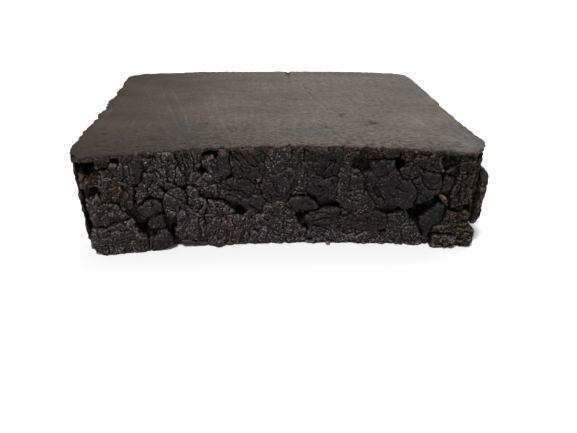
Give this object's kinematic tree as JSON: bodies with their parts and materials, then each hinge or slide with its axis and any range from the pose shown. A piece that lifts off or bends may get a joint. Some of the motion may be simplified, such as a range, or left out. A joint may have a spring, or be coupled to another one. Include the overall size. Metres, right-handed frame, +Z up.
{
  "type": "compressed charcoal block",
  "caption": "Low block of pressed drawing charcoal with a burnished top skin and a broken, cracked front; rests on a flat base.",
  "frame": {"origin": "centre of the bounding box at the base, on the surface the block rests on", "axes": "+X along the width towards the end with the loose flake, +Z up, broken front faces -Y"},
  "size_m": [0.1516, 0.1257, 0.0442],
  "materials": {
    "burnished_skin": "burnished matte taupe, lightly scratched",
    "char": "rough crumbly near-black with small bright specks",
    "smooth_char": "smooth dark grey, slightly satin",
    "brown_rind": "rough brown",
    "pink_grain": "matte pink-grey",
    "orange_chip": "matte orange-brown"
  },
  "bodies": {
    "root": {"core_mass": "char", "top_skin": "burnished_skin", "left_end_rind": "brown_rind", "right_end_rind": "brown_rind", "right_end_flake": "brown_rind", "top_left_knob": "brown_rind", "left_edge_knob": "brown_rind", "upper_left_clod": "char", "brown_crumb_clod": "brown_rind", "left_shoulder_clod": "char", "lower_left_clod": "char", "left_wedge_clod": "brown_rind", "upright_slab": "smooth_char", "long_splinter": "char", "knuckle_clod": "char", "upper_knob": "smooth_char", "middle_knob": "smooth_char", "lower_knob": "smooth_char", "arched_knob": "char", "top_ledge_clod": "char", "pitted_clod": "char", "upright_post": "char", "bean_clod": "char", "pit_flank_clod": "char", "granular_clod": "char", "fibrous_clod": "char", "flat_flake": "char", "diagonal_plate": "smooth_char", "oval_plate": "smooth_char", "fan_plate": "smooth_char", "centre_top_clod": "char", "centre_clod": "smooth_char", "centre_lower_clod": "char", "leaf_clod": "smooth_char", "wave_flank_clod": "char", "smooth_top_clod": "smooth_char", "block_clod": "smooth_char", "lens_flake": "smooth_char", "glossy_foot": "char", "bottom_strip": "char", "mottled_clod": "char", "smooth_belly": "smooth_char", "right_of_centre_clod": "char", "big_lump": "smooth_char", "smooth_cheek": "smooth_char", "seam_splinter": "char", "left_shelf": "char", "right_shelf": "char", "blue_lump": "smooth_char", "speckled_clod": "char", "base_knob": "char", "mid_base_lump": "brown_rind", "olive_lens": "smooth_char", "blue_top_knob": "smooth_char", "orange_chip": "orange_chip", "layered_upper": "brown_rind", "layered_mid": "brown_rind", "right_corner_stack": "brown_rind", "pink_grain": "pink_grain", "base_crumb": "orange_chip"}
  },
  "joints": []
}
